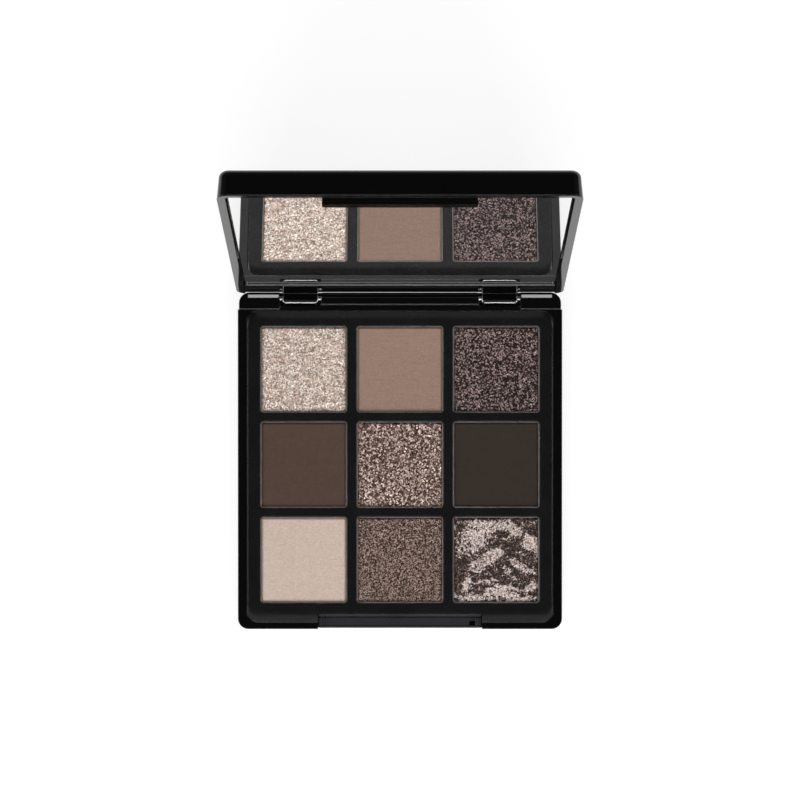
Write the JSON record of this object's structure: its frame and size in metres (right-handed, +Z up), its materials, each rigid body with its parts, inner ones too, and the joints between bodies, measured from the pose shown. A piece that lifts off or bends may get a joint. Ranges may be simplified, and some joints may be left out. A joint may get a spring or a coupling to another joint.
{
  "type": "eyeshadow palette",
  "caption": "Square black palette of pressed powders in metal pans, with a hinged mirror lid held by a push latch at the front.",
  "frame": {"origin": "centre of the flat underside of the base", "axes": "+Z up out of the pans, -Y towards the front latch, +Y towards the hinge, X across the width"},
  "size_m": [0.0974, 0.1311, 0.1024],
  "materials": {
    "black_moulding": "high gloss black ABS",
    "tray_black": "semi-gloss black ABS",
    "frame_black": "gloss black ABS",
    "latch_grey": "satin black-grey ABS",
    "label_paper": "blank black label",
    "adhesive": "translucent glue",
    "spring_steel": "bright spring steel",
    "pin_steel": "bright drawn steel",
    "pan_metal": "bright pressed tinplate",
    "mirror_glass": "silvered glass",
    "champagne_shimmer": "satin pressed powder",
    "taupe_matte": "matte pressed powder",
    "plum_glitter": "satin pressed powder",
    "dark_brown_matte": "matte pressed powder",
    "rose_taupe_glitter": "satin pressed powder",
    "espresso_matte": "matte pressed powder",
    "pale_pink_beige_matte": "matte pressed powder",
    "brown_satin": "satin pressed powder",
    "marbled_cream_brown": "satin pressed powder"
  },
  "bodies": {
    "base": {"base_shell": "black_moulding", "tray_insert": "tray_black", "base_label": "label_paper", "pan_adhesive_pads": "adhesive", "latch_spring": "spring_steel", "hinge_pin_left": "pin_steel", "hinge_pin_right": "pin_steel", "pan_r1c1": "pan_metal", "powder_r1c1": "champagne_shimmer", "pan_r1c2": "pan_metal", "powder_r1c2": "taupe_matte", "pan_r1c3": "pan_metal", "powder_r1c3": "plum_glitter", "pan_r2c1": "pan_metal", "powder_r2c1": "dark_brown_matte", "pan_r2c2": "pan_metal", "powder_r2c2": "rose_taupe_glitter", "pan_r2c3": "pan_metal", "powder_r2c3": "espresso_matte", "pan_r3c1": "pan_metal", "powder_r3c1": "pale_pink_beige_matte", "pan_r3c2": "pan_metal", "powder_r3c2": "brown_satin", "pan_r3c3": "pan_metal", "powder_r3c3": "marbled_cream_brown"},
    "lid": {"lid_cover": "black_moulding", "lid_frame": "frame_black", "mirror": "mirror_glass", "mirror_adhesive": "adhesive"},
    "latch": {"latch_button": "latch_grey"}
  },
  "joints": [
    {"name": "lid_hinge", "type": "hinge", "parent": "base", "child": "lid", "pos_m": [0, 0.0488, 0.0061], "axis": [-1, 0, 0], "range_deg": [-104, 4]},
    {"name": "latch_push", "type": "slide", "parent": "base", "child": "latch", "axis": [0, 1, 0], "range_m": [0, 0.0008], "stiffness_N_per_m": 300, "springref_m": -0.004, "deforming": ["latch_spring"]}
  ]
}
